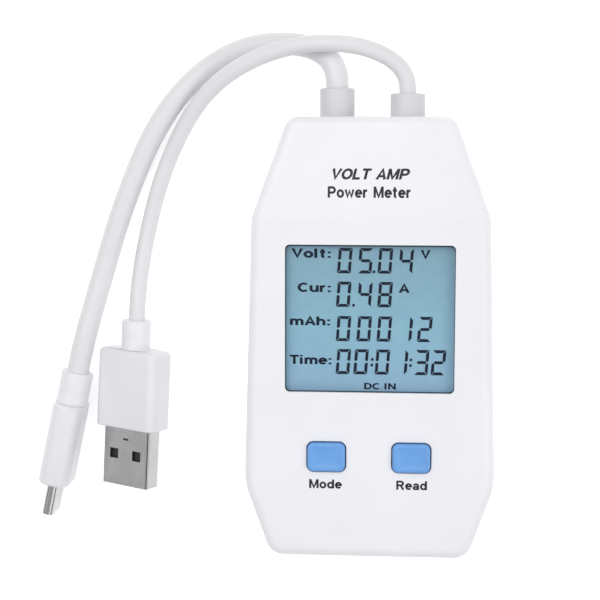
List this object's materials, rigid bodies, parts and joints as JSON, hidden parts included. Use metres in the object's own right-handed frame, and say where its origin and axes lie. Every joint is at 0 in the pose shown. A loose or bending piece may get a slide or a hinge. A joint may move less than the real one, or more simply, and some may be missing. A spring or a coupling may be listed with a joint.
{
  "type": "usb power meter",
  "caption": "Hand-held power meter in a white octagonal case with a blue display, press buttons and captive leads that end in plugs, lying on its back.",
  "frame": {"origin": "middle of the case's back face", "axes": "+Z out of the display face, +Y towards the end that the leads leave, +X across the case"},
  "size_m": [0.099, 0.1105, 0.021],
  "materials": {
    "case_plastic": "white moulded ABS, fine satin texture",
    "button_plastic": "light blue moulded ABS, satin",
    "lens": "clear acrylic",
    "lcd": "teal blue liquid crystal cell",
    "light_guide": "white diffuser",
    "led": "small white lamp",
    "inner_plastic": "natural plastic",
    "elastomer": "silicone",
    "board": "green solder mask",
    "chip": "black moulding compound",
    "can": "satin aluminium",
    "crystal_can": "nickel plated",
    "ceramic": "ceramic",
    "shunt": "metal strip",
    "switch_black": "black plastic",
    "switch_stem": "natural nylon",
    "screw_steel": "nickel plated steel",
    "shell_steel": "stamped and nickel plated steel",
    "contact_gold": "gold plated",
    "insert_black": "black moulded plastic",
    "insert_white": "white moulded plastic",
    "sleeve": "white soft PVC",
    "cord_jacket": "white soft PVC jacket",
    "grip_plastic": "white moulded PVC",
    "core_wire": "insulated cores"
  },
  "bodies": {
    "case": {"rear_cover": "case_plastic", "front_cover": "case_plastic", "cover_screws": "screw_steel", "display_window": "lens", "lcd_glass": "lcd", "backlight_guide": "light_guide", "backlight_leds": "led", "lcd_frame": "inner_plastic", "elastomer_strips": "elastomer", "circuit_board": "board", "controller_chip": "chip", "regulator_chip": "chip", "crystal": "crystal_can", "current_shunts": "shunt", "bulk_capacitors": "can", "chip_parts": "ceramic", "mode_switch_body": "switch_black", "read_switch_body": "switch_black", "socket_a_shell": "shell_steel", "socket_a_tongue": "insert_black", "socket_a_contacts": "contact_gold", "socket_c_shell": "shell_steel", "socket_c_tongue": "insert_black", "socket_c_contacts": "contact_gold", "gland_c": "sleeve", "gland_a": "sleeve", "cord_c_tail": "cord_jacket", "cord_a_tail": "cord_jacket", "cord_c_wires": "core_wire", "cord_a_wires": "core_wire", "cord_c": "cord_jacket", "cord_a": "cord_jacket", "plug_c_grip": "grip_plastic", "plug_c_shell": "shell_steel", "plug_c_insert": "insert_black", "plug_c_contacts": "contact_gold", "plug_a_grip": "grip_plastic", "plug_a_shell": "shell_steel", "plug_a_insert": "insert_white", "plug_a_contacts": "contact_gold"},
    "mode_key": {"mode_button": "button_plastic", "mode_switch_plunger": "switch_stem"},
    "read_key": {"read_button": "button_plastic", "read_switch_plunger": "switch_stem"}
  },
  "joints": [
    {"name": "mode_press", "type": "slide", "parent": "case", "child": "mode_key", "axis": [0, 0, -1], "range_m": [0, 0.0003], "stiffness_N_per_m": 3000, "springref_m": -0.0001},
    {"name": "read_press", "type": "slide", "parent": "case", "child": "read_key", "axis": [0, 0, -1], "range_m": [0, 0.0003], "stiffness_N_per_m": 3000, "springref_m": -0.0001}
  ]
}
